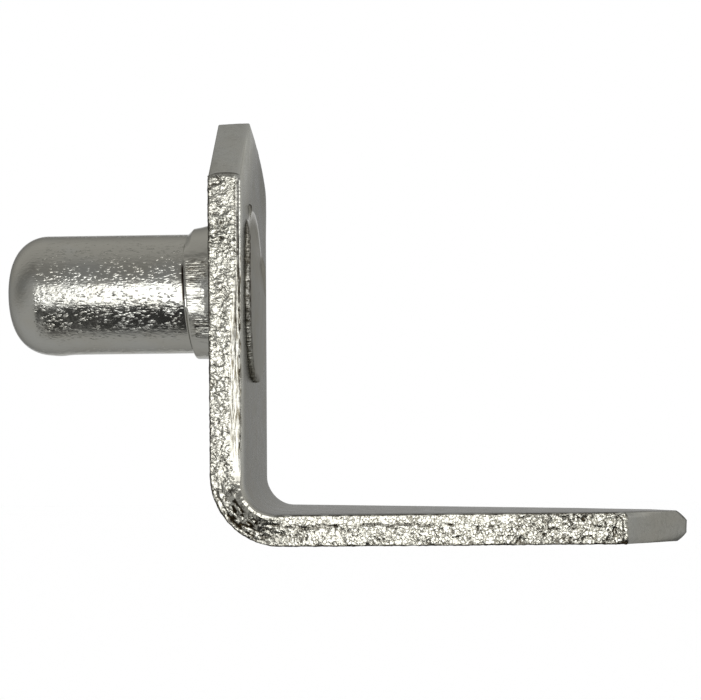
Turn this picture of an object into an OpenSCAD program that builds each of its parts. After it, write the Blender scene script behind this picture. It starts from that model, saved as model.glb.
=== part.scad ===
// Riveted shelf support: a flat plate folded to an L, with a round pin riveted through its
// upright leg. Millimetres. +Z is up and +X is the way the ledge reaches under the shelf. The
// origin is on the pin's axis, at the shoulder where the shank enters the cabinet's hole.

/* [Plate] */
// Width of the plate
plate_w = 11; // [9:0.5:14]
// Thickness of the sheet
plate_t = 1.2; // [1:0.1:1.5]
// Height of the upright leg's top edge above the pin's axis
leg_rise = 6.6; // [6:0.1:10]
// Depth of the ledge's underside below the pin's axis
ledge_drop = 10.2; // [9:0.1:12]
// Reach of the ledge, from the upright leg's outer face to the tip
ledge_reach = 18.4; // [14:0.1:24]
// Size of the 45 degree cut at each outer corner, along either side
corner_cut = 2.8; // [1:0.1:3.5]
// Inside radius of the fold
fold_r = 1.5; // [1:0.1:2]

/* [Sheared edge] */
// Radius of the rolled-over rim, on the inside of the fold
roll_r = 0.2; // [0.1:0.05:0.3]
// Share of the sheet's thickness that the torn band takes, up from the outer face
tear_share = 0.65; // [0.35:0.05:0.65]
// Distance the torn band leans in where it meets the outer face
tear_lean = 0.06; // [0.02:0.01:0.1]

/* [Pin] */
// Diameter of the shank, which fits a drilled shelf hole
shank_d = 5; // [4.8:0.1:5.2]
// Length of the shank, from the shoulder to the tip
shank_len = 7.4; // [7:0.1:10]
// Radius that rounds the tip
tip_r = 1.45; // [1:0.05:2.2]
// Length of the collar, from the shoulder to the plate
collar_len = 1.5; // [1:0.1:2.5]
// Diameter of the collar where it is squeezed against the plate
collar_d = 6; // [5.7:0.1:6.5]
// Height of the bevelled step from the shank up to the collar
shoulder_step = 0.2; // [0.1:0.05:0.25]

/* [Rivet head] */
// Diameter of the neck, which fills the hole in the plate
neck_d = 4; // [3.5:0.1:4.5]
// Diameter of the countersink at the plate's inner face
sink_d = 5.6; // [5:0.1:6.2]
// Diameter of the flattened head
head_d = 7.8; // [6.6:0.1:8.4]
// Height of the head above the plate's inner face
head_h = 0.22; // [0.1:0.02:0.4]
// Bevel round the head's rim
head_bevel = 0.06; // [0.02:0.02:0.08]

/* [Hidden] */
$fn = 96;

// Heights and radii that follow from the sizes above
fold_out_r = fold_r + plate_t;
fold_height = fold_out_r - ledge_drop;
leg_len = leg_rise - fold_height;
ledge_len = ledge_reach - fold_out_r;
tear_h = tear_share * plate_t;
leg_outer_x = collar_len;
leg_inner_x = collar_len + plate_t;
shank_r = shank_d / 2;
neck_r = neck_d / 2;
sink_r = sink_d / 2;
head_r = head_d / 2;
round_from = shank_len - tip_r;
// The countersink takes this share of the sheet's thickness
sink_share = 2 / 3;
sink_depth = sink_share * plate_t;
// How far the cutting shapes run past what they cut
past = 1;
steel = [0.78, 0.76, 0.72];

// A sheared edge in section: x runs in from the edge, and y from the outer face to the inner
// face. From the outer face up it has the torn band, the smooth band and the rolled-over rim.
module edge_section(depth) {
    polygon([
        [tear_lean, 0],
        [0, tear_h],
        [0, plate_t - roll_r],
        [depth, plate_t - roll_r],
        [depth, 0]
    ]);
    translate([roll_r, 0])
        square([depth - roll_r, plate_t]);
    translate([roll_r, plate_t - roll_r])
        circle(r = roll_r, $fn = 32);
}

// The plate in section, with a sheared edge at both sides
module plate_section() {
    for (side = [0, 1])
        mirror([side, 0])
            translate([-plate_w / 2, 0])
                edge_section(plate_w * 0.6);
}

// A slab with one long sheared edge, through a point and facing away from the angle "inward"
module sheared_slab(point, inward, size) {
    translate(point)
        rotate([0, 0, inward])
            rotate([90, 0, 0])
                linear_extrude(height = size, center = true)
                    edge_section(size);
}

// A flat stretch of plate from the fold, at x = 0, to its free end, with the corners cut
module panel(length) {
    corner_x = length - corner_cut / 2;
    corner_y = (plate_w - corner_cut) / 2;
    size = 2 * (length + plate_w);
    intersection() {
        rotate([90, 0, 90])
            linear_extrude(height = length)
                plate_section();
        sheared_slab([length, 0, 0], 180, size);
        sheared_slab([corner_x, corner_y, 0], 225, size);
        sheared_slab([corner_x, -corner_y, 0], 135, size);
    }
}

// The quarter turn of plate between the ledge and the upright leg
module fold() {
    rotate([-90, 0, 180])
        rotate_extrude(angle = 90)
            translate([fold_out_r, 0])
                rotate([0, 0, 90])
                    plate_section();
}

module folded_plate() {
    translate([leg_outer_x, 0, fold_height])
        rotate([0, -90, 180])
            panel(leg_len);
    translate([leg_outer_x + fold_out_r, 0, fold_height])
        fold();
    translate([leg_outer_x + fold_out_r, 0, -ledge_drop])
        panel(ledge_len);
}

// The countersunk hole, with its axis along X
module rivet_hole() {
    translate([leg_outer_x, 0, 0])
        rotate([0, 90, 0]) {
            translate([0, 0, -past])
                cylinder(r = neck_r, h = plate_t + past);
            translate([0, 0, plate_t - sink_depth])
                cylinder(r1 = neck_r, r2 = sink_r, h = sink_depth);
            translate([0, 0, plate_t])
                cylinder(r = sink_r, h = past);
        }
}

module bracket() {
    color(steel)
        difference() {
            folded_plate();
            rivet_hole();
        }
}

// Half the pin in section, up to where its tip starts to round: x is the radius, and y runs
// along the axis. Shank above 0; below 0 the collar, the neck in the plate and the head.
module pin_section() {
    polygon([
        [0, round_from],
        [shank_r, round_from],
        [shank_r, 0],
        [shank_r + shoulder_step, -shoulder_step],
        [collar_d / 2, -leg_outer_x],
        [neck_r, -leg_outer_x],
        [neck_r, sink_depth - leg_inner_x],
        [sink_r, -leg_inner_x],
        [head_r, -leg_inner_x],
        [head_r, head_bevel - leg_inner_x - head_h],
        [head_r - head_bevel, -leg_inner_x - head_h],
        [0, -leg_inner_x - head_h]
    ]);
}

// The rounded tip: a small flat end, and a ring of round section about it
module pin_tip() {
    cylinder(r = shank_r - tip_r, h = shank_len);
    rotate_extrude()
        intersection() {
            translate([shank_r - tip_r, round_from])
                circle(r = tip_r);
            square([shank_r, shank_len]);
        }
}

module pin() {
    color(steel)
        rotate([0, -90, 0]) {
            rotate_extrude()
                pin_section();
            pin_tip();
        }
}

bracket();
pin();
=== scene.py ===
"""Looks for the shelf support: a blanked and folded steel plate with a pin riveted through it.

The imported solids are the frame. Two dense meshes stand for them: `plate`, with its torn,
burnished and rolled sheared edge, and `stud`, with its squeezed collar and flattened head.
Lengths below are in millimetres in the row frame, and meshes are made in metres.
"""

import math

import bpy
import numpy as np
from mathutils import Matrix, Vector
from mathutils.geometry import delaunay_2d_cdt


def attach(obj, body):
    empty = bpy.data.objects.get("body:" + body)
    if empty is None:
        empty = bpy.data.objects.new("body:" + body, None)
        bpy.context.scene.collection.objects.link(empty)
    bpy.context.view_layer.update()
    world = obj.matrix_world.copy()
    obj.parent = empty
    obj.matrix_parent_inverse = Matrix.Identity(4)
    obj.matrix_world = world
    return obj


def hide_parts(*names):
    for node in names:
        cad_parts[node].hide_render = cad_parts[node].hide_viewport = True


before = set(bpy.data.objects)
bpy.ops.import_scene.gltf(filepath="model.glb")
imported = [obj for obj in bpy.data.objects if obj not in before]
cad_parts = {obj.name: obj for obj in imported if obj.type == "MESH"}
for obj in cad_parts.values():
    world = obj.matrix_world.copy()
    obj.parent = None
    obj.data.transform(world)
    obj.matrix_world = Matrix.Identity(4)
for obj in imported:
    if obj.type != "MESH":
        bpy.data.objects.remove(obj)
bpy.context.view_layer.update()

MM = 0.001

# Plate
PLATE_W = 11.0
PLATE_T = 1.2
LEG_OUTER_X = 1.5
LEG_TOP_Z = 6.6
LEDGE_TIP_X = 19.9
LEDGE_UNDER_Z = -10.2
CORNER_CUT = 2.8
# The fold's outside radius at its near and far sides, and how much tighter its inside is
FOLD_OUT_R = 2.7
FOLD_OUT_R_FAR = 2.6
FOLD_THINS = 0.22
LEG_LEN = LEG_TOP_Z - LEDGE_UNDER_Z - FOLD_OUT_R
FOLD_LEN = 3.3
LEDGE_LEN = LEDGE_TIP_X - LEG_OUTER_X - FOLD_OUT_R
STRIP_LEN = LEG_LEN + FOLD_LEN + LEDGE_LEN
LEG_INNER_X = LEG_OUTER_X + PLATE_T
# Where the near edge runs into the cut at the ledge's tip
NEAR_CUT_AT = STRIP_LEN - CORNER_CUT

# The ledge of this one is slightly twisted: its far side sinks towards the tip
TWIST = 0.0363
TWIST_FROM_Y = -5.5

# Pin
SHANK_R = 2.5
SHANK_LEN = 7.4
TIP_R = 1.45
COLLAR_LEN = 1.5
NECK_R = 2.0
SINK_R = 2.8
SINK_DEPTH = 0.8
HEAD_R = 3.9
HEAD_H = 0.22
# The head's flat face ends this far in from its rim
HEAD_RIM = 0.1
HEAD_DISH = 0.012
# Where the shank swells a little underneath, behind its rounded tip
SWELL_X = -5.55
STUD_SECTORS = 300

# Camera, fitted to the outline in the photo's frame
IMAGE_W = 701
FOCAL_PX = 1316.802
SENSOR_MM = 36.0
CAMERA_AT = (8.1101, -54.9537, -6.6330)
CAMERA_TURN = (-0.075812, -0.011756, -0.025752)

# Studio, in metres
FLOOR_HALF = 6.0
FLOOR_Z = -0.25
TENT_R = 0.24
# The tent is open this far round from straight behind
TENT_OPENING = math.radians(30)
CARD_LEVEL = 0.39
SOFTBOX_AT = (0.0355, -0.1945, -0.02)
SOFTBOX_SIZE = (0.19, 0.133)
SOFTBOX_LEVEL = 2.1


# ---------------------------------------------------------------- noise


def lattice(ix, iy, seed):
    """A repeatable random number from 0 to 1 for each integer pair."""
    h = (ix.astype(np.int64) * 374761393 + iy.astype(np.int64) * 668265263 + seed * 2147483647)
    h = (h ^ (h >> 13)) & 0xFFFFFFFF
    h = (h * 1274126177) & 0xFFFFFFFF
    h = (h ^ (h >> 16)) & 0xFFFFFF
    return h / float(0xFFFFFF)


def noise(u, v, size, seed):
    """Smooth noise from -1 to 1 with features of that size."""
    x, y = u / size, v / size
    ix, iy = np.floor(x), np.floor(y)
    fx, fy = x - ix, y - iy
    fx, fy = fx * fx * (3 - 2 * fx), fy * fy * (3 - 2 * fy)
    a = lattice(ix, iy, seed) * (1 - fx) + lattice(ix + 1, iy, seed) * fx
    b = lattice(ix, iy + 1, seed) * (1 - fx) + lattice(ix + 1, iy + 1, seed) * fx
    return (a * (1 - fy) + b * fy) * 2 - 1


def fractal(u, v, size, seed, octaves=3):
    """Noise of that size with finer noise added to it."""
    total, weight = 0.0, 1.0
    for k in range(octaves):
        total = total + weight * noise(u, v, size / 2**k, seed + 17 * k)
        weight *= 0.5
    return total / (2 - 2 * weight)


def noise_along(u, size, seed):
    """Noise that changes along one direction only."""
    return noise(u, 0 * u, size, seed)


def smooth(low, high, x):
    """0 at low and 1 at high, easing between them. It falls if low is the larger."""
    t = np.clip((x - low) / (high - low), 0.0, 1.0)
    return t * t * (3 - 2 * t)


def within(x, low, high, fade):
    """1 between low and high, and 0 outside."""
    return smooth(low - fade, low + fade, x) * smooth(high + fade, high - fade, x)


def hump(x, centre, width):
    """1 at the centre, fading to nothing over about twice the width."""
    return np.exp(-(((x - centre) / width) ** 2))


# ---------------------------------------------------------------- plate


def outline_corners():
    """The flat plate's outline, with s along the strip from the leg's top. Each corner has
    its radius, and ends the side that comes before it, from side 0, the near long edge."""
    half, cut, end = PLATE_W / 2, CORNER_CUT, STRIP_LEN
    return [
        ((end - cut, -half), 0.3),
        ((end, -half + cut), 0.52),
        ((end, half - cut), 0.52),
        ((end - cut, half), 0.3),
        # The leg's far corner is cut a little less than the others, and rounder
        ((cut - 0.3, half), 1.2),
        ((0.0, half - cut), 2.6),
        ((0.0, -half + cut), 0.2),
        ((cut - 0.17, -half), 0.3),
    ]


# The side that is the near cut at the leg's top
NEAR_TOP_CUT = 7


def outline_points():
    """Points along the outline, the outward normal at each, the length run so far, and the
    side each is on, which is between two whole numbers on a corner."""
    corners = outline_corners()
    n = len(corners)
    # The spacing on each side, finest on the near long edge, and then on the corners
    steps = [0.025, 0.05, 0.07, 0.1, 0.1, 0.1, 0.07, 0.05]
    corner_step = 0.11
    points, normals, sides = [], [], []
    for k in range(n):
        a, b, c = (np.array(corners[j % n][0]) for j in (k - 1, k, k + 1))
        along = (b - a) / np.linalg.norm(b - a)
        onward = (c - b) / np.linalg.norm(c - b)
        before = (a - np.array(corners[k - 2][0]))
        before = before / np.linalg.norm(before)
        radius = corners[k][1]
        turn = math.acos(np.clip(along @ onward, -1, 1))
        last_turn = math.acos(np.clip(before @ along, -1, 1))
        start = a + along * corners[k - 1][1] * math.tan(last_turn / 2)
        stop = b - along * radius * math.tan(turn / 2)
        out, out2 = np.array([along[1], -along[0]]), np.array([onward[1], -onward[0]])
        count = max(2, int(round(np.linalg.norm(stop - start) / steps[k])))
        for i in range(count):
            points.append(start + (stop - start) * i / count)
            normals.append(out)
            sides.append(k)
        centre = stop - out * radius
        count = max(5, int(round(radius * turn / corner_step)))
        for i in range(count):
            f = i / count
            m = out * math.sin((1 - f) * turn) + out2 * math.sin(f * turn)
            m = m / np.linalg.norm(m)
            points.append(centre + m * radius)
            normals.append(m)
            sides.append(k + f)
    points, normals = np.array(points), np.array(normals)
    gaps = np.linalg.norm(np.roll(points, -1, axis=0) - points, axis=1)
    run = np.concatenate([[0.0], np.cumsum(gaps)[:-1]])
    return points, normals, run, np.array(sides)


def fold_up(s, w, t):
    """Where a point of the flat strip lies on the folded plate. t runs from the outer face."""
    s, w, t = np.broadcast_arrays(np.asarray(s, float), w, t)
    turn = np.clip((s - LEG_LEN) / FOLD_LEN, 0.0, 1.0) * (math.pi / 2)
    out_r = FOLD_OUT_R + (FOLD_OUT_R_FAR - FOLD_OUT_R) * (w / PLATE_W + 0.5)
    out_r = out_r - FOLD_THINS * t / PLATE_T
    r = out_r - t
    past = np.maximum(s - LEG_LEN - FOLD_LEN, 0.0) * (LEDGE_LEN + FOLD_OUT_R - out_r) / LEDGE_LEN
    before = np.maximum(LEG_LEN - s, 0.0) * (LEG_LEN + FOLD_OUT_R - out_r) / LEG_LEN
    x = LEG_OUTER_X + out_r - r * np.cos(turn) + past
    z = LEDGE_UNDER_Z + out_r - r * np.sin(turn) + before
    angle = TWIST * np.clip((x - LEG_OUTER_X) / (LEDGE_TIP_X - LEG_OUTER_X), 0.0, 1.0)
    angle = angle * smooth(LEG_LEN, LEG_LEN + FOLD_LEN, s)
    arm = w - TWIST_FROM_Y
    z = z - arm * np.sin(angle)
    y = w - arm * (1 - np.cos(angle))
    return np.stack([x, y, z], axis=-1)


def in_bend(s):
    """1 in the middle of the fold and 0 away from it."""
    f = (s - LEG_LEN) / FOLD_LEN
    return smooth(-0.25, 0.35, f) * (1 - smooth(0.65, 1.25, f))


def edge_sizes(points, normals, sides):
    """How each outline point's section is shaped: radii of its outer and inner rims, and
    weights for the near long edge, the leg, the fold and the tip."""
    s = points[:, 0]
    tip = smooth(STRIP_LEN - 0.6, STRIP_LEN - 0.05, s)
    tip_low = smooth(STRIP_LEN - 2.9, STRIP_LEN - 0.1, s) ** 1.6
    bend = in_bend(s) * (np.abs(normals[:, 1]) > 0.9)
    top_cut = smooth(CORNER_CUT + 0.02, CORNER_CUT - 0.3, s)
    leg = smooth(LEG_LEN + 0.5, LEG_LEN - 1.5, s)
    near = smooth(0.8, 0.99, -normals[:, 1])
    outer_rim = 0.045 + 0.3 * tip_low
    inner_rim = 0.05 - 0.018 * leg * near + 0.04 * bend + 0.01 * top_cut + 0.33 * tip
    return {
        "outer_rim": outer_rim,
        "inner_rim": np.minimum(inner_rim, 0.38),
        "bend": bend,
        "fold": bend * smooth(-0.12, 0.4, (s - LEG_LEN) / FOLD_LEN),
        "leg": leg,
        "tip": tip,
        "long": smooth(0.8, 0.99, np.abs(normals[:, 1])),
        "near": near,
        "near_cut": smooth(0.4, 0.7, -normals[:, 1]),
        "top_corner": np.where(sides > NEAR_TOP_CUT, sides - NEAR_TOP_CUT, 9.0),
    }


def edge_rows(sizes):
    """Rows of the section from the outer face to the inner face: how far up the sheet and
    how far in from the edge each point is, before any relief."""
    lean, lean_top = 0.04, 0.8
    top = PLATE_T - roll_drop(sizes["inner_rim"])
    rows = []
    straight = 0.75 * sizes["tip"]
    for a in np.linspace(0, math.pi / 2, 5)[:-1]:
        r = sizes["outer_rim"]
        f = a / (math.pi / 2)
        up = (1 - math.cos(a)) * (1 - straight) + f * straight
        rows.append((r * up, r * ((1 - math.sin(a)) * (1 - straight) + (1 - f) * straight)))
    low, high = sizes["outer_rim"], top - sizes["inner_rim"]
    for q in list(np.linspace(0, 0.84, 23)[:-1]) + list(np.linspace(0.84, 1, 9)):
        rows.append((low + (high - low) * q, 0 * low))
    for a in np.linspace(0, math.pi / 2, 8)[1:]:
        r = sizes["inner_rim"]
        f = a / (math.pi / 2)
        down = (1 - math.sin(a)) * (1 - straight) + (1 - f) * straight
        rows.append((top - r * down, r * ((1 - math.cos(a)) * (1 - straight) + f * straight)))
    proud = 0.03 * sizes["leg"] * sizes["near"]
    rows = [(t + proud * smooth(1.0, 1.12, t), d) for t, d in rows]
    leaned = [(t, d + lean * np.clip(1 - t / lean_top, 0, 1)) for t, d in rows]
    return leaned


def roll_drop(gap):
    """How far the inner face sinks towards its edge, where the punch rolled it over."""
    return 0.028 * np.clip(1 - gap / 0.6, 0, 1) ** 2


def rim_polish(s, w, gap):
    """How bright the inner face is rubbed: along the near rim, and by the leg's cut corner."""
    near_rim = hump(gap, 0.0, 0.75) * smooth(0.0, -4.0, w) * smooth(LEG_LEN + 2.0, LEG_LEN, s)
    from_cut = (s + w + PLATE_W / 2 - CORNER_CUT) / math.sqrt(2)
    by_cut = 0.75 * hump(np.maximum(from_cut, 0), 0.0, 2.0) * smooth(6.0, 2.0, s)
    return np.clip(np.maximum(near_rim, by_cut), 0, 1)


def face_warp(s, w):
    """How far the leg's faces stand out of true by its top edge and its far corner."""
    corner = 0.108 * hump(s, 1.4, 0.95) * smooth(1.8, 4.4, w)
    across = [-5.5, -2.7, 0.1, 1.6, 2.6, 3.4]
    top = np.interp(w, across, [0.0, 0.1, 0.026, -0.029, -0.035, 0.0])
    return corner + top * hump(s, 0.0, 1.3)


def crinkle(u, v, size, seed):
    """Noise whose zero line winds through the surface, and bounds the pebbles."""
    return noise(u, v, size, seed) + 0.4 * noise(u, v, size / 2.3, seed + 3)


def path_crack(s, t, path, width):
    """1 on a crack that runs along the path of (s, t) points, fading over its width."""
    best = np.full(np.shape(s), 9.0)
    for (s0, t0), (s1, t1) in zip(path, path[1:]):
        ds, dt = s1 - s0, t1 - t0
        f = np.clip(((s - s0) * ds + (t - t0) * dt) / (ds * ds + dt * dt), 0, 1)
        best = np.minimum(best, np.hypot(s - s0 - f * ds, t - t0 - f * dt))
    return hump(best, 0.0, width)


def torn_grain(run, s, t, sizes, right):
    """The torn band's pebbles and streaks: their height, and how deep in a crack or pit each
    point is, which also paints shade there. They are coarser at the leg's top and, where right
    is 1, by the ledge's tip."""
    leg = sizes["leg"]
    warp_u = run + 0.08 * noise(run, t, 0.26, 23) + 0.03 * noise(run, t, 0.1, 24)
    warp_t = t + 0.08 * noise(run, t, 0.24, 29) + 0.03 * noise(run, t, 0.1, 30)
    slant_u = (warp_u + warp_t) * 0.7
    slant_t = (warp_t - warp_u) * 0.7
    small = np.abs(crinkle(warp_u, warp_t, 0.16, 31))
    large = np.abs(crinkle(warp_u, warp_t, 0.42, 37))
    streaks = noise(slant_u * 0.42, slant_t, 0.08, 41)
    streaks = streaks + 0.5 * noise(slant_u * 0.5, slant_t, 0.2, 43)
    streaky = smooth(-0.3, 0.4, fractal(run, t * 0.5, 1.9, 45)) * (0.35 + 0.65 * leg)
    coarse = np.maximum(within(s, 2.0, 5.2, 0.9), right * 0.35)
    lumps = 1 - np.exp(-small / 0.22)
    boulders = 1 - np.exp(-large / 0.3)
    calm = 1 - 0.2 * leg
    height = 0.022 * calm * lumps * (1 - 0.3 * streaky)
    height = height + (0.009 + 0.006 * coarse + 0.012 * right) * calm * boulders
    height = height + 0.015 * streaks * streaky + 0.012 * noise(warp_u, warp_t, 0.085, 47)
    height = height + (0.016 - 0.009 * leg) * fractal(run, t, 0.5, 49) - 0.012
    height = height + 0.013 * sizes["bend"] * noise(run * 0.5, t, 0.1, 147)

    fine_cracks = smooth(0.0, 0.5, noise(run, t, 0.37, 53) + 0.35 * coarse)
    fine_cracks = smooth(0.1, 0.02, small) * fine_cracks
    patchy = fractal(run, t, 0.9, 59) + 0.25 * coarse - 0.1
    by_chip = within(s, 2.7, 4.0, 0.2)
    patchy = patchy + (1.2 * smooth(0.75, 0.5, t) - 0.6) * by_chip * sizes["near"]
    big_cracks = smooth(0.075, 0.02, large) * smooth(0.05, 0.35, patchy)
    pits = smooth(0.45, 0.75, noise(warp_u, warp_t, 0.11, 61))
    pits = pits * smooth(-0.1, 0.5, noise(run, t, 0.7, 63) + 0.4 * coarse)
    return height, np.clip(0.8 * fine_cracks + big_cracks + 0.75 * pits, 0, 1)


def fold_streaks(run, t, sizes):
    """Streaks that the fold pulls out along its edge, painted dark as shade."""
    streaks = noise(run * 0.35, t, 0.06, 141) + 0.5 * noise(run, t, 0.3, 143)
    streaks = smooth(0.1, 0.3, streaks + 0.35 * (t - 0.45))
    return streaks * sizes["bend"] * within(t, 0.08, 0.87, 0.1)


def torn_seams(run, s, t, sizes, ledge):
    """The broken seam along the ledge where the torn band ends, double at its start, and a
    split by the leg's cut corner."""
    ledge_run = s - LEG_LEN - FOLD_LEN
    wave = 0.045 * noise_along(run, 0.4, 65) + 0.03 * noise_along(run, 0.17, 66)
    here = ledge * smooth(7.5, 4.5, ledge_run) * smooth(-0.9, -0.4, noise_along(run, 0.5, 67))
    seam = hump(t - 0.77, wave, 0.03) * here
    second = hump(t - 0.68, 0.8 * wave, 0.034) * within(ledge_run, 0.2, 1.9, 0.3)
    seam = np.clip(seam + 0.9 * second, 0, 1)
    split_run = [(2.72, 0.27), (2.95, 0.43), (3.04, 0.32), (3.04, 0.14), (3.17, 0.05)]
    return np.maximum(seam, path_crack(s, t, split_run, 0.034) * sizes["near"])


def edge_relief(run, s, t, sizes):
    """Height of the sheared edge's relief over its smooth section, and how torn, how much
    painted shade it has in cracks, creases, grooves and at rims, and how drawn out each point
    is, all three from 0 to 1."""
    leg, near, long_side = sizes["leg"], sizes["near"], sizes["long"]
    ledge_run = s - LEG_LEN - FOLD_LEN
    ledge = smooth(-0.6, 0.4, ledge_run)
    right = smooth(6.5, 10.5, ledge_run)

    # Where the torn band ends, and how crisp that line is
    low_leg = smooth(5.6, 9.3, s) * leg
    limit = 1.02 - 0.26 * low_leg + 0.14 * ledge
    limit = limit + 0.05 * fractal(run, 0 * run + 3.1, 0.6, 11)
    torn = smooth(0.035, -0.035, t - limit)

    # Its grain is finer and cleaner above the ledge's seam
    height, crack = torn_grain(run, s, t, sizes, right)
    clean = 1 - 0.6 * ledge * (1 - right) * smooth(0.78, 0.84, t)
    clean = clean * (1 - 0.7 * within(s, 2.6, 3.9, 0.1) * smooth(0.5, 0.7, t) * near)
    height, crack = height * clean, crack * clean**2
    crack = np.maximum(crack, fold_streaks(run, t, sizes))
    height = (height - 0.02 * crack) * torn
    seam = torn_seams(run, s, t, sizes, ledge)
    height = height - 0.035 * seam

    # The burnished band: lines drawn across the sheet, and a few shallow waves
    drawn = noise(run, t * 0.12, 0.07, 71) + 0.6 * noise(run, t * 0.2, 0.16, 73)
    grained = noise(run, t, 0.075, 75) * (0.4 + 0.9 * ledge)
    burnished = 0.0028 * drawn + 0.005 * fractal(run, t, 0.5, 77) + 0.004 * grained
    height = height + (1 - torn) * burnished

    # A crease and a bead along the leg's inner rim, fading out above the fold
    rim = leg * near * smooth(2.75, 3.0, s)
    ragged = 0.6 + 0.8 * smooth(-0.5, 0.3, noise_along(run, 0.4, 79))
    crease_t = 1.068 + 0.062 * smooth(5.4, 7.2, s) + 0.012 * noise_along(run, 0.5, 81)
    crease = hump(t, crease_t, 0.024) * rim * ragged
    bead = smooth(0.03, 0.05, t - crease_t) * rim * (0.8 + 0.4 * noise_along(run, 0.21, 83))
    valley_t = 0.95 + 0.02 * noise_along(run, 0.8, 82)
    valley = hump(t, valley_t, 0.05) * rim * smooth(10.4, 9.0, s)
    height = height - 0.04 * crease + 0.008 * bead - 0.012 * valley

    # The cut corners, the ends and the rim in the fold are smoother
    flat = (0.22 + 0.78 * long_side) * (1 - 0.95 * sizes["bend"] * smooth(0.86, 0.96, t))
    height = height * flat
    # Painted shade in the cracks and the seam, in dashes along the crease, in the valley and
    # along the ledge's inner rim
    dashes = smooth(-0.35, 0.15, noise_along(run, 0.13, 85) + 0.6 * smooth(8.0, 5.0, s))
    crease = crease * dashes
    crack = (crack * torn + 0.95 * seam) * (0.1 + 0.9 * long_side) + 0.95 * crease
    valley_shade = 0.25 + 0.5 * smooth(-0.2, 0.5, noise(run * 0.6, t, 0.08, 86))
    crack = np.maximum(crack, valley * valley_shade * long_side)
    ledge_rim_shade = 0.7 * smooth(1.08, 1.14, t) * ledge * near
    crack = np.maximum(crack, ledge_rim_shade * smooth(-0.8, 0.2, noise_along(run, 0.35, 93)))

    # A split by the ledge's cut corner, and a chipped patch under it, both sunk and painted dark
    # as shade
    split_s = NEAR_CUT_AT - 0.2 - 0.3 * smooth(0.85, 1.17, t) ** 2
    split = hump(s, split_s, 0.025) * near * smooth(0.05, 0.12, t)
    chip_edge = 0.04 + 0.1 * smooth(NEAR_CUT_AT - 0.55, NEAR_CUT_AT - 0.1, s)
    chip = smooth(0.03, -0.03, t - chip_edge)
    chip = chip * within(s, NEAR_CUT_AT - 0.5, NEAR_CUT_AT + 0.05, 0.06) * (near > 0.3)
    height = height - 0.03 * split - 0.03 * chip
    crack = np.maximum(crack, np.maximum(split, chip))

    # The near cut at the leg's top has an arch of painted shade where it begins
    arch_shade = 0.9 * hump(sizes["top_corner"], 0.22, 0.2) * within(t, 0.12, 1.12, 0.05)
    crack = np.maximum(crack, arch_shade)
    torn = torn * (0.1 + 0.9 * long_side)
    drawn_out = (1 - torn) * leg * near * within(s, 5.0, 13.2, 1.2)
    return height, torn, np.clip(crack, 0, 1), drawn_out


def crown(s, t, sides):
    """How far the near cut faces draw in towards the sheet's two faces."""
    u = t / PLATE_T
    top = np.clip(sides - NEAR_TOP_CUT, -1, 1)
    on_top = smooth(-0.9, 0.0, top) * (sides > NEAR_TOP_CUT - 1) * (1 - smooth(0.2, 1.0, top))
    on_top = on_top * smooth(0.4, 2.4, s)
    on_top = np.maximum(on_top, (sides < 0.5) * smooth(2.86, 2.6, s))
    on_tip = smooth(0.1, 0.9, sides) * (sides < 2)
    on_tip = on_tip * smooth(STRIP_LEN - 1.2, STRIP_LEN - 2.6, s)
    shape_top = 0.13 * np.abs(2 * u - 1) ** 3
    shape_tip = 0.2 * smooth(0.72, 1.0, u) ** 2 + 0.07 * smooth(0.2, 0.0, u)
    return shape_top * on_top + shape_tip * on_tip


def fill_between(loop, hole, inside):
    """Triangles that fill the loop less its round hole, using the inside points. They number
    the loop's points first, then the hole's, then the inside ones."""
    spots = np.concatenate([loop, hole, inside])
    edges, base = [], 0
    for count in (len(loop), len(hole)):
        edges += [(base + i, base + (i + 1) % count) for i in range(count)]
        base += count
    found = delaunay_2d_cdt([Vector(p) for p in spots], edges, [], 1, 1e-7, True)
    verts, faces, origin = found[0], found[2], found[3]
    assert len(verts) == len(spots), "the fill made new points"
    back = np.array([o[0] for o in origin])
    triangles = back[np.array(faces)].tolist()
    # Spread from a triangle at an inside point, and stop at the loop and at the hole
    border = {frozenset(e) for e in edges}
    beside = {}
    for i, tri in enumerate(triangles):
        for pair in zip(tri, tri[1:] + tri[:1]):
            beside.setdefault(frozenset(pair), []).append(i)
    reached = {next(i for i, tri in enumerate(triangles) if max(tri) >= base)}
    waiting = list(reached)
    while waiting:
        tri = triangles[waiting.pop()]
        for pair in zip(tri, tri[1:] + tri[:1]):
            if frozenset(pair) not in border:
                fresh = [j for j in beside[frozenset(pair)] if j not in reached]
                reached.update(fresh)
                waiting += fresh
    return [triangles[i] for i in sorted(reached)]


def edge_gap(spots, points, normals):
    """How far each spot lies inside the outline."""
    gap = np.empty(len(spots))
    for start in range(0, len(spots), 500):
        part = spots[start:start + 500]
        offset = part[:, None, :] - points[None, :, :]
        nearest = np.argmin((offset**2).sum(axis=2), axis=1)
        rows = np.arange(len(part))
        gap[start:start + 500] = -(offset[rows, nearest] * normals[nearest]).sum(axis=1)
    return gap


def inside_points(loop, normals, hole_r):
    """Points to fill the loop with: two rings just inside it, and a grid that is finer along
    the fold and keeps clear of the loop and of the round hole."""
    inset = 0.1
    rings = [(loop - normals * inset)[::2], (loop - normals * 3 * inset)[::4]]
    rows = list(np.arange(0.3, LEG_LEN - 0.4, 0.4))
    rows += list(np.linspace(LEG_LEN - 0.2, LEG_LEN + FOLD_LEN + 0.2, 34))
    rows += list(np.arange(LEG_LEN + FOLD_LEN + 0.5, STRIP_LEN - 0.2, 0.4))
    cols = np.linspace(-PLATE_W / 2, PLATE_W / 2, 45)[1:-1]
    s, w = [a.ravel() for a in np.meshgrid(np.array(rows), cols)]
    grid = np.stack([s, w], axis=1)
    clear = edge_gap(grid, loop, normals) > 0.45
    clear &= np.hypot(s - LEG_TOP_Z, w) > hole_r + 0.12
    found = np.concatenate(rings + [grid[clear]])
    return found[edge_gap(found, loop, normals) > 0.05]


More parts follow.
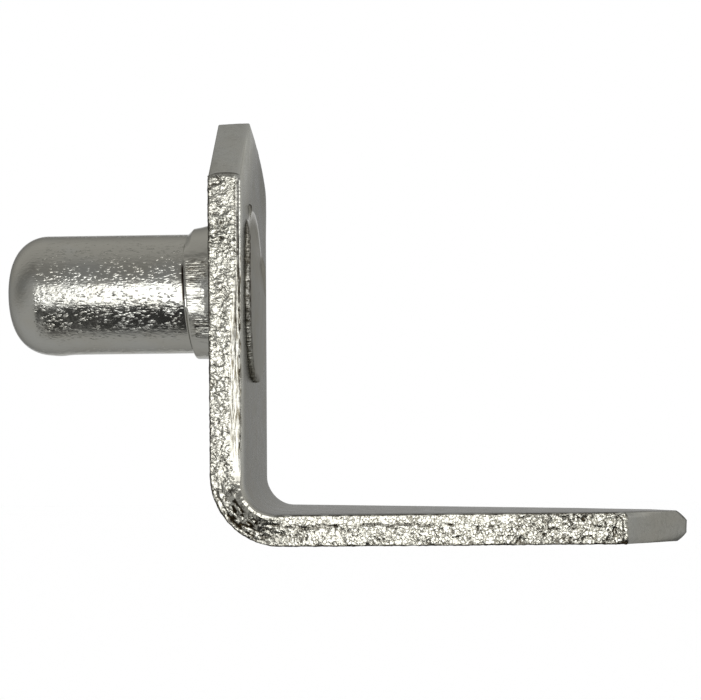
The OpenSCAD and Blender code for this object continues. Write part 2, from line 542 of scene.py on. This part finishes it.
def hole_loop(radius, count=72):
    """Points round a hole on the pin's axis, in the flat plate."""
    a = np.linspace(0, 2 * math.pi, count, endpoint=False)
    return np.stack([LEG_TOP_Z + radius * np.cos(a), radius * np.sin(a)], axis=1)


def burr(run, s, sizes):
    """How far the torn edge stands out beyond the outer face."""
    ragged = noise_along(run, 0.13, 87) + 0.6 * noise_along(run, 0.06, 89)
    on_leg = 0.07 * smooth(LEG_LEN + 1.0, 3.0, s) * smooth(0.0, 2.8, s) * sizes["near_cut"]
    return on_leg + sizes["long"] * (0.008 + 0.009 * ragged)


def edge_rings(points, normals, run, sides, sizes, lip, add_points):
    """Adds the sheared edge, ring by ring from the outer face to the inner face, and returns
    each ring in the flat plate."""
    s0 = points[:, 0]
    flats = []
    for t, depth in edge_rows(sizes):
        height, torn, crack, drawn = edge_relief(run, s0, t, sizes)
        if t[0] > PLATE_T / 2:
            settle = smooth(1.0, 0.6, depth / sizes["inner_rim"])
        else:
            settle = smooth(1.3, 0.7, depth / (sizes["outer_rim"] + 0.04))
        u = t / PLATE_T
        # The fold swells the edge by its inner face and draws it in by its outer face
        fan = 1 + 0.25 * noise(s0 * 0.2, t, 0.09, 151) * sizes["leg"]
        swell = sizes["fold"] * fan * (0.37 * np.minimum(u, 0.83) ** 2.4 - 0.04 * (1 - u))
        radial = sizes["bend"] * 0.035 * noise(s0, u, 0.15, 73) * np.maximum(u - 0.2, 0)
        away = -depth + (height + radial) * settle + swell - crown(s0, t, sides)
        flat = points + normals * away[:, None]
        s, w = flat[:, 0], flat[:, 1]
        level = t - lip * smooth(0.25, 0.0, t) + face_warp(s, w) * u
        # Painted shade along the outer rim, in broken stretches on the long sides
        rim_shade = 0.8 * smooth(0.08, 0.04, t) * sizes["long"]
        rim_shade = rim_shade * smooth(-0.9, -0.3, noise_along(run, 0.3, 91))
        rub = rim_polish(s, w, depth) * smooth(1.0, 1.12, t)
        crack = np.maximum(crack * settle, rim_shade)
        add_points(s, w, level, torn=torn, crack=crack, rub=rub, drawn=drawn)
        flats.append(flat)
    return flats


def build_plate():
    points, normals, run, sides = outline_points()
    count = len(points)
    sizes = edge_sizes(points, normals, sides)
    lip = burr(run, points[:, 0], sizes)
    places = []
    marks = {"torn": [], "crack": [], "rub": [], "drawn": []}

    def add_points(s, w, level, **values):
        """Adds points of the flat strip, with their marks, and returns the first's index."""
        start = sum(map(len, places))
        places.append(fold_up(s, w, level))
        for name, found in marks.items():
            found.append(values.get(name, np.zeros(len(s))))
        return start

    flats = edge_rings(points, normals, run, sides, sizes, lip, add_points)
    faces = []
    for j in range(len(flats) - 1):
        low = j * count + np.arange(count)
        faces += band_faces(low, low + count, flip=True)

    bores = []
    for inner, hole_r in ((False, NECK_R), (True, SINK_R)):
        ring_row = len(flats) - 1 if inner else 0
        loop, hole = flats[ring_row], hole_loop(hole_r)
        extra = inside_points(loop, normals, hole_r)
        triangles = fill_between(loop, hole, extra)
        new = np.concatenate([hole, extra])
        s, w = new[:, 0], new[:, 1]
        gap = edge_gap(new, points, normals)
        if inner:
            level = PLATE_T - roll_drop(gap) + face_warp(s, w)
            # The ledge's top face is painted darker along its near edge
            near_ledge = smooth(LEG_LEN + 2.0, LEG_LEN + 4.0, s) * smooth(0.0, -4.0, w)
            darker_near_edge = 0.4 * hump(gap, 0.0, 0.8) * near_ledge
            start = add_points(s, w, level, crack=darker_near_edge, rub=rim_polish(s, w, gap))
        else:
            offset = new[:, None, :] - points[None, ::4, :]
            nearest = np.argmin((offset**2).sum(axis=2), axis=1) * 4
            start = add_points(s, w, -lip[nearest] * smooth(0.3, 0.08, gap))
        bores.append(np.arange(start, start + len(hole)))
        for f in triangles:
            f = [ring_row * count + i if i < count else start + i - count for i in f]
            faces.append(f if inner else f[::-1])

    # The bore: straight from the outer face, then the countersink
    ring = hole_loop(NECK_R)
    mid = add_points(ring[:, 0], ring[:, 1], np.full(len(ring), PLATE_T - SINK_DEPTH))
    loops = [bores[0], np.arange(mid, mid + len(ring)), bores[1]]
    for low, high in zip(loops, loops[1:]):
        faces += band_faces(low, high)

    obj = make_mesh("plate", np.concatenate(places), faces)
    for name, values in marks.items():
        add_attribute(obj, name, np.concatenate(values))
    sharpen(obj, loops)
    return obj


# ---------------------------------------------------------------- mesh helpers


def band_faces(low, high, flip=False):
    """Quads from one closed ring of vertices to the next, which are given as indices."""
    corners = [low, high, np.roll(high, -1), np.roll(low, -1)]
    if flip:
        corners = corners[:1] + corners[:0:-1]
    return np.stack(corners, axis=1).tolist()


def make_mesh(name, verts_mm, faces):
    mesh = bpy.data.meshes.new(name)
    mesh.from_pydata((verts_mm * MM).tolist(), [], faces)
    mesh.update()
    mesh.shade_smooth()
    obj = bpy.data.objects.new(name, mesh)
    bpy.context.scene.collection.objects.link(obj)
    return obj


def add_attribute(obj, name, values):
    made = obj.data.attributes.new(name, "FLOAT", "POINT")
    made.data.foreach_set("value", np.asarray(values, np.float32))


def sharpen(obj, loops):
    """Breaks the shading at each edge whose two vertices are both on the same loop."""
    mesh = obj.data
    pairs = np.empty(len(mesh.edges) * 2, np.int32)
    mesh.edges.foreach_get("vertices", pairs)
    pairs = pairs.reshape(-1, 2)
    flags = np.zeros(len(pairs), bool)
    for loop in loops:
        flags |= ((pairs >= loop[0]) & (pairs <= loop[-1])).all(axis=1)
    made = mesh.attributes.new("sharp_edge", "BOOLEAN", "EDGE")
    made.data.foreach_set("value", flags)


# ---------------------------------------------------------------- stud


TIP, SHANK, COLLAR, NECK, HEAD = range(5)


def stud_profile():
    """Stations along the stud from the tip's centre to the head's centre, as (x, r, part).
    x grows from the tip towards the ledge's side."""
    centre_x, centre_r = TIP_R - SHANK_LEN, SHANK_R - TIP_R
    line = [(-SHANK_LEN, r, TIP) for r in np.linspace(0.03, centre_r, 12)]
    for a in np.linspace(0, math.pi / 2, 44)[1:]:
        line.append((centre_x - TIP_R * math.cos(a), centre_r + TIP_R * math.sin(a), TIP))
    line += [(x, SHANK_R, SHANK) for x in np.linspace(centre_x, -0.12, 84)[1:]]
    line += [(x, SHANK_R, SHANK) for x in (-0.08, -0.05, -0.025)]
    line += [(x, SHANK_R, COLLAR) for x in np.linspace(0.0, 0.32, 17)]
    line += [(x, SHANK_R, COLLAR) for x in np.linspace(0.35, COLLAR_LEN - 0.05, 22)]
    line += [(COLLAR_LEN - 0.02, SHANK_R, COLLAR), (COLLAR_LEN, SHANK_R - 0.03, COLLAR)]
    line += [(COLLAR_LEN, SHANK_R, NECK), (COLLAR_LEN, NECK_R, NECK)]
    line += [(LEG_INNER_X - SINK_DEPTH, NECK_R, NECK), (LEG_INNER_X, SINK_R, NECK)]
    line += [(LEG_INNER_X, 3.2, NECK), (LEG_INNER_X, HEAD_R - 0.02, HEAD)]
    # The head's wall: height above the leg's inner face, and the radius over HEAD_R
    wall = [(0.02, 0), (0.06, 0.004), (0.11, 0), (0.15, -0.01), (0.185, -0.03), (0.21, -0.07)]
    line += [(LEG_INNER_X + h, HEAD_R + dr, HEAD) for h, dr in wall]
    top = LEG_INNER_X + HEAD_H
    line += [(top, r, HEAD) for r in (3.56, 3.45, 3.3, 3.1)]
    line += [(top, r, HEAD) for r in np.linspace(2.9, 0.03, 26)]
    return line


def head_outline(turn):
    """The hammered head's outline as a share of its radius. It is squarer towards the near
    side, and flat underneath. turn is 0 on top and grows towards the far side."""
    outline = [
        (0, 3.75), (60, 3.8), (120, 3.85), (180, 3.75), (195, 3.9), (210, 4.25), (225, 4.25),
        (240, 4.2), (250, 4.12), (270, 4.0), (285, 4.1), (300, 4.35), (312, 4.3), (325, 4.05),
        (340, 3.85), (360, 3.75),
    ]
    degrees, radius = zip(*outline)
    return np.interp(np.degrees(turn), degrees, radius) / HEAD_R


def collar_height(x, up):
    """Height of the collar over the shank: it flares wide on top, and underneath it has a
    sharp step and hardly any flare."""
    slope = (1 + up) / 2
    soft_step = np.interp(x, [0, 0.05, 0.1, 0.3], [0, 0.008, 0.04, 0.2])
    sharp_step = np.interp(x, [0, 0.02, 0.09, 0.15], [0, 0.03, 0.19, 0.21])
    crisp_step = np.interp(x, [0, 0.012, 0.04, 0.08], [0, 0.03, 0.19, 0.21])
    step = sharp_step + (crisp_step - sharp_step) * smooth(-0.42, -0.3, up)
    step = step + (soft_step - step) * smooth(0.5, 0.8, up)
    step = step * (1 - 0.4 * smooth(0.6, 0.1, np.abs(up)))
    flare = (0.012 + 0.2 * slope**4) * max(x - 0.15, 0.0)
    flare = flare + 0.09 * smooth(0.1, 0.9, slope) * max(x - 0.58, 0.0)
    flare = flare + 0.3 * max(x - 0.92, 0.0) * within(up, -0.5, 0.35, 0.15)
    return step + flare + 0.03 * (1 - slope) * smooth(0.0, 0.15, x)


def head_nick(side, up):
    """1 at a nick in the head's upper rim, on the near side."""
    return hump(np.degrees(np.arctan2(side, up)), -34, 1.7)


def head_slump(side, up, r):
    """How far the head sinks into the leg: the hammer left it thinner on top, where it runs
    out in the leg's face, and at the far side."""
    far = np.clip((side + 0.4) / 1.4, 0, 1) * min(r / 3.7, 1.0)
    at_rim, inside = smooth(1.6, 2.45, r * up), smooth(-0.5, 2.9, r * up)
    on_top = inside + (at_rim - inside) * smooth(3.2, 3.7, r)
    slump = np.minimum(0.09 * far + 0.225 * on_top, 0.2 + 0.025 * smooth(2.85, 3.75, r))
    return slump * (1 - 0.5 * head_nick(side, up) * smooth(3.3, 3.7, r))


def collar_ring(x, r, arc, side, up, corner_shade):
    """The collar's radius at each point of a ring, how much painted shade it has, and how
    strongly lines are drawn along it."""
    face = np.clip(-side, 0, 1)
    r = r + collar_height(x, up)
    # A flat on the near side
    r = r - 0.06 * hump(r * up, -0.75, 0.5) * smooth(0.0, -0.5, side) * smooth(0.0, 0.1, x)
    # Lines drawn along it, which begin sooner in front
    begin = smooth(0.12, 0.4, x)
    begin = begin + (smooth(0.04, 0.14, x) - begin) * smooth(-0.38, -0.28, up)
    begin = begin * (1 - smooth(COLLAR_LEN - 0.1, COLLAR_LEN, x))
    lines = noise(arc, 0 * arc + 0.3 * x, 0.06, 83)
    lines = (lines + 0.6 * noise(arc, 0 * arc + x * 0.5, 0.12, 89)) * smooth(0.7, 0.4, up)
    r = r + begin * (0.007 * lines + 0.006 * noise_along(arc, 0.9, 97))
    # A rough outer end
    ragged = noise(arc, 0 * arc + x, 0.1, 101) + noise(arc, 0 * arc + x, 0.22, 103)
    rough = 0.008 * smooth(0.75, 0.9, x) * within(up, -0.5, 0.45, 0.1)
    rough = 0.005 * smooth(0.9, 0.6, up) + rough
    r = r + rough * ragged * smooth(0.5, 0.75, x)
    lined = begin * (1 - 0.78 * within(up, -0.38, 0.0, 0.05)) * within(up, -0.74, 0.41, 0.04)
    # Painted shade in a band underneath, on the near side
    dark = np.maximum(corner_shade, 0.4 * begin * within(up, -0.6, -0.43, 0.04) * face)
    return r, dark, lined


def head_wall(x, r, arc, side, up):
    """The radius at the head's wall, how much painted shade it has, and how strongly lines show
    on it.
    """
    arc = arc * 1.45
    r = r + (0.02 * noise(arc, 0 * arc + x * 2, 0.16, 103) + 0.02 * noise_along(arc, 0.8, 107))
    specks = smooth(-0.2, 0.3, noise(arc, 0 * arc + x * 6, 0.09, 109))
    facing = smooth(0.2, -0.2, side)
    # Painted shade on the wall's near side, flecked with darker specks, fading out on top and
    # lighter across the middle and low down; the nick is painted dark as shade too
    dark = (0.3 + 0.5 * specks) * smooth(0.7, 0.6, up) * facing
    dark = dark * (1 - 0.5 * within(up, 0.0, 0.1, 0.03))
    dark = dark * (1 - 0.3 * smooth(-0.3, -0.5, up))
    return r, np.maximum(dark, head_nick(side, up)), 0.9 * smooth(0.66, 0.6, up) * facing


def stud_ring(station, turn):
    """The ring of points at a station of the profile, with how much painted shade and how lined
    each is.
    """
    x, r, part = station
    up, side = np.cos(turn), np.sin(turn)
    arc = turn * SHANK_R
    xx, rr = np.full(len(turn), x), np.full(len(turn), r)
    dark = lined = np.zeros(len(turn))
    if part in (SHANK, COLLAR):
        # Painted shade in the corner where the shank meets the collar, on the near side
        corner_shade = min(1.7 * hump(x, -0.01, 0.045), 1.0) * within(up, -0.27, 0.36, 0.07)
        dark = corner_shade * smooth(0.0, 0.5, np.clip(-side, 0, 1))
        # The shoulder sits further forward on top than underneath
        near = smooth(-0.4, 0.0, x) * (1 - smooth(0.3, 0.9, x))
        xx = xx - near * (0.12 * up - 0.04)
    if (part == SHANK and x < -4.6) or (part == TIP and x > -6.4):
        rr = rr + 0.05 * hump(x, SWELL_X, 0.42) * np.clip(-up, 0, 1) ** 2
    if part == COLLAR:
        rr, dark, lined = collar_ring(x, rr, arc, side, up, dark)
    if part == HEAD:
        rr = rr * (1 + (head_outline(turn) - 1) * smooth(1.5, 3.6, r))
        slump = head_slump(side, up, HEAD_R if r > HEAD_R - HEAD_RIM else r)
        if r > HEAD_R - HEAD_RIM:
            rr, dark, lined = head_wall(x, rr, arc, side, up)
            xx = LEG_INNER_X + (xx - LEG_INNER_X) * (1 - slump / HEAD_H)
        else:
            dish = -HEAD_DISH * hump(r, 0.0, 1.7)
            across, above = rr * np.cos(turn), rr * np.sin(turn)
            xx = xx + dish + 0.0015 * noise(across, above, 0.9, 113) - slump
    # Where the head runs out in the leg's face, it goes a little deeper still
    if r > 3.1 and LEG_INNER_X <= x < LEG_INNER_X + 0.215:
        xx = xx - 0.02 * smooth(0.2, 0.22, head_slump(side, up, HEAD_R))
    return np.stack([xx, rr * side, rr * up], axis=1), dark, lined


def build_stud():
    turn = np.linspace(0, 2 * math.pi, STUD_SECTORS, endpoint=False)
    rings = [stud_ring(station, turn) for station in stud_profile()]
    places, dark, lined = (np.concatenate(found) for found in zip(*rings))
    first = np.arange(STUD_SECTORS)
    faces = []
    for j in range(len(rings) - 1):
        low = j * STUD_SECTORS + first
        faces += band_faces(low, low + STUD_SECTORS)
    last = len(places) - STUD_SECTORS + first
    tip, tail = len(places), len(places) + 1
    for i, k in zip(first, np.roll(first, -1)):
        faces += [[tip, i, k], [tail, last[k], last[i]]]
    ends = [[-SHANK_LEN, 0, 0], [LEG_INNER_X + HEAD_H - HEAD_DISH, 0, 0]]
    obj = make_mesh("stud", np.concatenate([places, ends]), faces)
    add_attribute(obj, "crack", np.append(dark, [0, 0]))
    add_attribute(obj, "lined", np.append(lined, [0, 0]))
    return obj


# ---------------------------------------------------------------- materials


class Nodes:
    """A material's node tree, with short calls to add and link nodes."""

    def __init__(self, name):
        self.material = bpy.data.materials.new(name)
        self.material.use_nodes = True
        self.tree = self.material.node_tree
        self.tree.nodes.clear()
        self.output = self.add("ShaderNodeOutputMaterial")

    def add(self, kind, **values):
        node = self.tree.nodes.new(kind)
        for key, value in values.items():
            setattr(node, key, value)
        return node

    def set(self, socket, value):
        if isinstance(value, bpy.types.NodeSocket):
            self.tree.links.new(value, socket)
        else:
            socket.default_value = value

    def principled(self):
        shader = self.add("ShaderNodeBsdfPrincipled")
        self.set(self.output.inputs["Surface"], shader.outputs["BSDF"])
        return shader

    def object_coords(self, scale=(1, 1, 1)):
        coords = self.add("ShaderNodeTexCoord").outputs["Object"]
        mapping = self.add("ShaderNodeMapping")
        self.set(mapping.inputs["Vector"], coords)
        self.set(mapping.inputs["Scale"], scale)
        return mapping.outputs["Vector"]

    def texture(self, kind, vector, size_mm, **values):
        node = self.add(kind, **values)
        self.set(node.inputs["Vector"], vector)
        self.set(node.inputs["Scale"], 1 / (size_mm * MM))
        return node

    def noise(self, vector, size_mm, detail=3.0, rough=0.5):
        node = self.texture("ShaderNodeTexNoise", vector, size_mm)
        self.set(node.inputs["Detail"], detail)
        self.set(node.inputs["Roughness"], rough)
        return node.outputs["Fac"]

    def cells(self, vector, size_mm, feature):
        """Distance to a cell's centre with the feature F1, or to its edge."""
        node = self.texture("ShaderNodeTexVoronoi", vector, size_mm, feature=feature)
        return node.outputs["Distance"]

    def shaken(self, vector, size_mm, amount_mm):
        """The vector, moved about by noise."""
        source = self.texture("ShaderNodeTexNoise", vector, size_mm)
        node = self.add("ShaderNodeVectorMath", operation="MULTIPLY_ADD")
        self.set(node.inputs[0], source.outputs["Color"])
        self.set(node.inputs[1], (amount_mm * MM,) * 3)
        self.set(node.inputs[2], vector)
        return node.outputs["Vector"]

    def range(self, value, low, high, to_low, to_high):
        """The value, mapped from one range to another and held within it."""
        node = self.add("ShaderNodeMapRange")
        names = ("Value", "From Min", "From Max", "To Min", "To Max")
        for name, v in zip(names, (value, low, high, to_low, to_high)):
            self.set(node.inputs[name], v)
        return node.outputs["Result"]

    def math(self, operation, a, b=0.0):
        node = self.add("ShaderNodeMath", operation=operation)
        self.set(node.inputs[0], a)
        self.set(node.inputs[1], b)
        return node.outputs["Value"]

    def times(self, a, b):
        return self.math("MULTIPLY", a, b)

    def split(self, vector, axis):
        node = self.add("ShaderNodeSeparateXYZ")
        self.set(node.inputs[0], vector)
        return node.outputs[axis]

    def mix(self, factor, a, b):
        # This node has sockets for each type of data. These are the ones for colours.
        node = self.add("ShaderNodeMix", data_type="RGBA")
        self.set(node.inputs[0], factor)
        self.set(node.inputs[6], a)
        self.set(node.inputs[7], b)
        return node.outputs[2]

    def attribute(self, name):
        return self.add("ShaderNodeAttribute", attribute_name=name).outputs["Fac"]

    def bump(self, height, distance_mm, strength=1.0, normal=None):
        node = self.add("ShaderNodeBump")
        self.set(node.inputs["Height"], height)
        self.set(node.inputs["Distance"], distance_mm * MM)
        self.set(node.inputs["Strength"], strength)
        if normal is not None:
            self.set(node.inputs["Normal"], normal)
        return node.outputs["Normal"]


PLATING = (0.655, 0.655, 0.608, 1)
PLATING_WARM = (0.625, 0.608, 0.535, 1)
FRESH_BREAK = (0.72, 0.718, 0.64, 1)
CREVICE_SHADE = (0.035, 0.026, 0.014, 1)
GRAIN_GAP_SHADE = (0.07, 0.058, 0.03, 1)
LEG_LINE = (0.12, 0.1, 0.06, 1)
COLLAR_LINE_AND_SHADE = (0.1, 0.085, 0.05, 1)

# What the metal reflects at grazing angles
PLATE_GRAZING = (0.2, 0.2, 0.2, 1)
RUBBED_GRAZING = (0.5, 0.5, 0.48, 1)
PIN_GRAZING = (0.5, 0.5, 0.5, 1)
HEAD_GRAZING = (0.17, 0.168, 0.16, 1)


def grain_gap_shade(n, at, torn):
    """Painted shade in the gaps between the torn band's grains, more of them towards the ledge's
    tip.
    """
    gap = n.cells(n.shaken(at, 0.09, 0.13), 0.14, "DISTANCE_TO_EDGE")
    on_ledge = n.range(n.split(at, 2), -8.6 * MM, -9.2 * MM, 0, 1)
    outer = n.range(n.split(at, 0), 6.0 * MM, 13.0 * MM, 0.045, 0.115)
    more = n.times(on_ledge, outer)
    shaded_gaps = n.math("ADD", n.noise(at, 0.1, 2), more)
    shaded_gaps = n.times(n.range(gap, 0.0, 0.15, 1, 0), n.range(shaded_gaps, 0.4, 0.56, 0.1, 1))
    patches = n.math("ADD", n.noise(at, 0.3, 2), more)
    shaded_gaps = n.times(shaded_gaps, n.range(patches, 0.4, 0.52, 0, 1))
    return n.times(shaded_gaps, torn)


def plate_material():
    n = Nodes("plated_plate")
    shader = n.principled()
    at = n.object_coords()
    torn = n.attribute("torn")
    crack = n.attribute("crack")
    cloud = n.noise(at, 1.6, 4)
    fine = n.noise(at, 0.09, 3, 0.6)
    face = n.mix(n.range(cloud, 0.35, 0.7, 0, 1), PLATING, PLATING_WARM)
    broken = n.mix(n.range(fine, 0.35, 0.65, 0, 1), PLATING_WARM, FRESH_BREAK)
    colour = n.mix(torn, face, broken)
    shaded_gaps = grain_gap_shade(n, at, torn)
    colour = n.mix(n.times(shaded_gaps, 0.95), colour, GRAIN_GAP_SHADE)
    lines = n.noise(n.object_coords((1, 1, 0.1)), 0.05, 2)
    lines = n.times(n.range(lines, 0.45, 0.62, 0, 0.9), n.attribute("drawn"))
    colour = n.mix(lines, colour, LEG_LINE)
    # Painted shade, nearly black, in the plate's cracks, pits, grooves and along its rims
    colour = n.mix(crack, colour, CREVICE_SHADE)
    n.set(shader.inputs["Base Color"], colour)
    n.set(shader.inputs["Metallic"], 1.0)
    tint = n.mix(n.attribute("rub"), PLATE_GRAZING, RUBBED_GRAZING)
    n.set(shader.inputs["Specular Tint"], tint)
    smear = n.range(n.noise(at, 0.5, 4), 0.3, 0.7, 0.24, 0.34)
    smear = n.math("SUBTRACT", smear, n.range(torn, 0, 1, 0.0, 0.12))
    n.set(shader.inputs["Roughness"], smear)
    pebble = n.bump(n.noise(at, 0.11, 2, 0.5), 0.004, 0.5)
    depth = n.range(torn, 0, 1, 0.004, 0.028)
    grit = n.times(n.noise(at, 0.075, 2, 0.6), depth)
    grit = n.math("SUBTRACT", grit, n.times(n.math("ADD", shaded_gaps, lines), 0.008))
    n.set(shader.inputs["Normal"], n.bump(grit, 1.0, 0.6, pebble))
    return n.material


def stud_material():
    n = Nodes("plated_pin")
    shader = n.principled()
    at = n.object_coords()
    crack = n.attribute("crack")
    cloud = n.noise(at, 1.4, 4)
    upper = n.range(n.split(at, 2), 0.2 * MM, 1.4 * MM, 0, 0.3)
    warm = n.range(n.math("ADD", cloud, upper), 0.4, 0.72, 0, 1)
    colour = n.mix(warm, PLATING, PLATING_WARM)
    # Dark lines along the collar and on the head's wall, partly real marks and partly painted
    # shade
    lines = n.range(n.noise(n.object_coords((0.08, 1, 1)), 0.05, 2), 0.5, 0.66, 0, 1)
    lines = n.times(lines, n.attribute("lined"))
    colour = n.mix(n.times(lines, 0.8), colour, COLLAR_LINE_AND_SHADE)
    # Painted shade in the corner by the collar, in a band under it, on the head's wall and in
    # its nick
    colour = n.mix(crack, colour, CREVICE_SHADE)
    n.set(shader.inputs["Base Color"], colour)
    n.set(shader.inputs["Metallic"], 1.0)
    along = n.split(at, 0)
    head = n.range(along, LEG_INNER_X * MM, (LEG_INNER_X + 0.02) * MM, 0, 1)
    n.set(shader.inputs["Specular Tint"], n.mix(head, PIN_GRAZING, HEAD_GRAZING))
    smear = n.range(n.noise(at, 0.6, 4), 0.3, 0.7, 0.12, 0.2)
    n.set(shader.inputs["Roughness"], n.math("ADD", smear, n.range(head, 0, 1, 0, 0.16)))

    # Pebbled all over, with pimples that are strongest along the middle of the shank
    stretched = n.object_coords((0.42, 1, 1))
    on_shank = n.range(along, -0.1 * MM, 0.05 * MM, 1, 0.2)
    pebble = n.times(n.noise(stretched, 0.1, 2, 0.5), on_shank)
    pebble = n.bump(pebble, 0.011, 0.8)
    pimple = n.range(n.cells(n.shaken(stretched, 0.08, 0.08), 0.085, "F1"), 0.05, 0.55, 1, 0)
    pimple = n.times(pimple, n.range(n.noise(stretched, 0.14, 1), 0.44, 0.56, 0, 1))
    height = n.split(at, 2)
    front = n.range(n.math("ABSOLUTE", height), 1.5 * MM, 2.1 * MM, 0.021, 0.006)
    core = n.math("ABSOLUTE", n.math("SUBTRACT", height, 0.02 * MM))
    front = n.times(front, n.range(core, 0.15 * MM, 0.32 * MM, 0.4, 1))
    front = n.times(front, n.range(along, -6.2 * MM, -5.5 * MM, 0.3, 1))
    front = n.times(front, on_shank)
    pimple = n.times(pimple, n.times(front, n.range(head, 0, 1, 1, 0.1)))

    # Ridges and grooves drawn along the collar
    ridges = n.noise(n.object_coords((0.05, 1, 1)), 0.07, 1)
    ridges = n.times(ridges, n.times(n.attribute("lined"), 0.075))
    relief = n.math("ADD", n.math("SUBTRACT", pimple, n.times(lines, 0.01)), ridges)
    n.set(shader.inputs["Normal"], n.bump(relief, 1.0, 0.9, pebble))
    return n.material


# ---------------------------------------------------------------- studio


def card_light(direction):
    """How bright the studio is in a direction, as the metal sees it."""
    x, y, z = direction[:, 0], direction[:, 1], direction[:, 2]
    around = np.degrees(np.arctan2(x, -y))
    # Dimmer to the left, and brighter high on the right
    left = hump(around + 70, 40 * smooth(0.1, 0.85, z), 32)
    left = left * smooth(-0.5, 0.2, z) * smooth(1.0, 0.7, z) * smooth(-0.1, -0.4, x)
    level = CARD_LEVEL - 0.2 * left + 0.12 * smooth(0.3, 0.7, x) * smooth(0.2, 0.6, z)
    # Dark below in front, and dim above
    low = smooth(-0.36, -0.46, z) * smooth(-0.46, -0.32, x + 0.15 * (z + 0.4))
    level = level * (1 - 0.92 * low * smooth(0.1, -0.3, y))
    brow = smooth(0.22, 0.4, z) * smooth(0.99, 0.9, z) * smooth(-0.1, -0.3, y)
    brow = brow * smooth(-0.55, -0.3, x + 0.4 * (0.3 - z))
    level = level * (1 - 0.36 * brow * smooth(0.35, 0.1, x))
    return level + 0.05 * smooth(0.0, 0.3, y) * smooth(0.2, 0.5, z)


def build_tent():
    """Grey cards round the front, sides, top and bottom, open behind, that glow by themselves as
    painted reflections of a dim room. Only the metal's reflections see them, as it would a
    photographer's room."""
    rings, sectors = 40, 64
    verts, faces = [], []
    for i in range(rings + 1):
        a = TENT_OPENING + (math.pi - TENT_OPENING) * i / rings
        for j in range(sectors):
            b = 2 * math.pi * j / sectors
            verts.append((math.sin(a) * math.cos(b), math.cos(a), math.sin(a) * math.sin(b)))
    for i in range(rings):
        low, high = i * sectors, (i + 1) * sectors
        for j in range(sectors):
            k = (j + 1) % sectors
            faces.append([low + j, low + k, high + k, high + j])
    directions = np.array(verts)
    tent = make_mesh("glowing_reflection_cards", directions * TENT_R / MM, faces)
    add_attribute(tent, "card", card_light(directions))
    n = Nodes("glowing_reflection_cards")
    glow = n.add("ShaderNodeEmission")
    n.set(glow.inputs["Color"], n.attribute("card"))
    n.set(glow.inputs["Strength"], 1.0)
    n.set(n.output.inputs["Surface"], glow.outputs["Emission"])
    n.material.cycles.emission_sampling = "NONE"
    tent.data.materials.append(n.material)
    for kind in ("camera", "diffuse", "shadow", "transmission"):
        setattr(tent, "visible_" + kind, False)
    return tent


def build_floor():
    half, z = FLOOR_HALF, FLOOR_Z
    verts = [(-half, -half, z), (half, -half, z), (half, half, z), (-half, half, z)]
    floor = make_mesh("floor", np.array(verts) / MM, [[0, 1, 2, 3]])
    n = Nodes("floor")
    shader = n.principled()
    n.set(shader.inputs["Base Color"], (1.0, 1.0, 1.0, 1))
    n.set(shader.inputs["Roughness"], 0.9)
    floor.data.materials.append(n.material)
    return floor


def add_softbox():
    """A lamp in front of the pin, whose face is as bright as SOFTBOX_LEVEL."""
    light = bpy.data.lights.new("softbox", "AREA")
    light.shape = "RECTANGLE"
    light.size, light.size_y = SOFTBOX_SIZE
    light.energy = SOFTBOX_LEVEL * math.pi * SOFTBOX_SIZE[0] * SOFTBOX_SIZE[1]
    obj = bpy.data.objects.new("softbox", light)
    obj.location = SOFTBOX_AT
    obj.rotation_euler = (-Vector(SOFTBOX_AT)).to_track_quat("-Z", "Y").to_euler()
    obj.visible_camera = False
    bpy.context.scene.collection.objects.link(obj)


def set_world():
    world = bpy.data.worlds.new("world")
    bpy.context.scene.world = world
    world.use_nodes = True
    background = world.node_tree.nodes["Background"]
    background.inputs["Color"].default_value = (1, 1, 1, 1)
    background.inputs["Strength"].default_value = 1.0


def add_camera():
    x_turn, y_turn, z_turn = (
        Matrix.Rotation(angle, 3, axis) for angle, axis in zip(CAMERA_TURN, "XYZ")
    )
    from_row = z_turn @ y_turn @ x_turn
    look = Matrix(((1, 0, 0), (0, 0, -1), (0, 1, 0)))
    data = bpy.data.cameras.new("camera")
    data.sensor_width = SENSOR_MM
    data.lens = FOCAL_PX * SENSOR_MM / IMAGE_W
    data.clip_start = 0.001
    camera = bpy.data.objects.new("camera", data)
    place = (from_row.transposed() @ look).to_4x4()
    place.translation = Vector(CAMERA_AT) * MM
    camera.matrix_world = place
    bpy.context.scene.collection.objects.link(camera)
    bpy.context.scene.camera = camera


# ---------------------------------------------------------------- scene

plate = build_plate()
plate.data.materials.append(plate_material())
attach(plate, "root")
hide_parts("bracket")

stud = build_stud()
stud.data.materials.append(stud_material())
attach(stud, "root")
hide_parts("pin")

build_floor()
build_tent()
add_softbox()
set_world()
add_camera()
bpy.context.scene.view_settings.view_transform = "Standard"
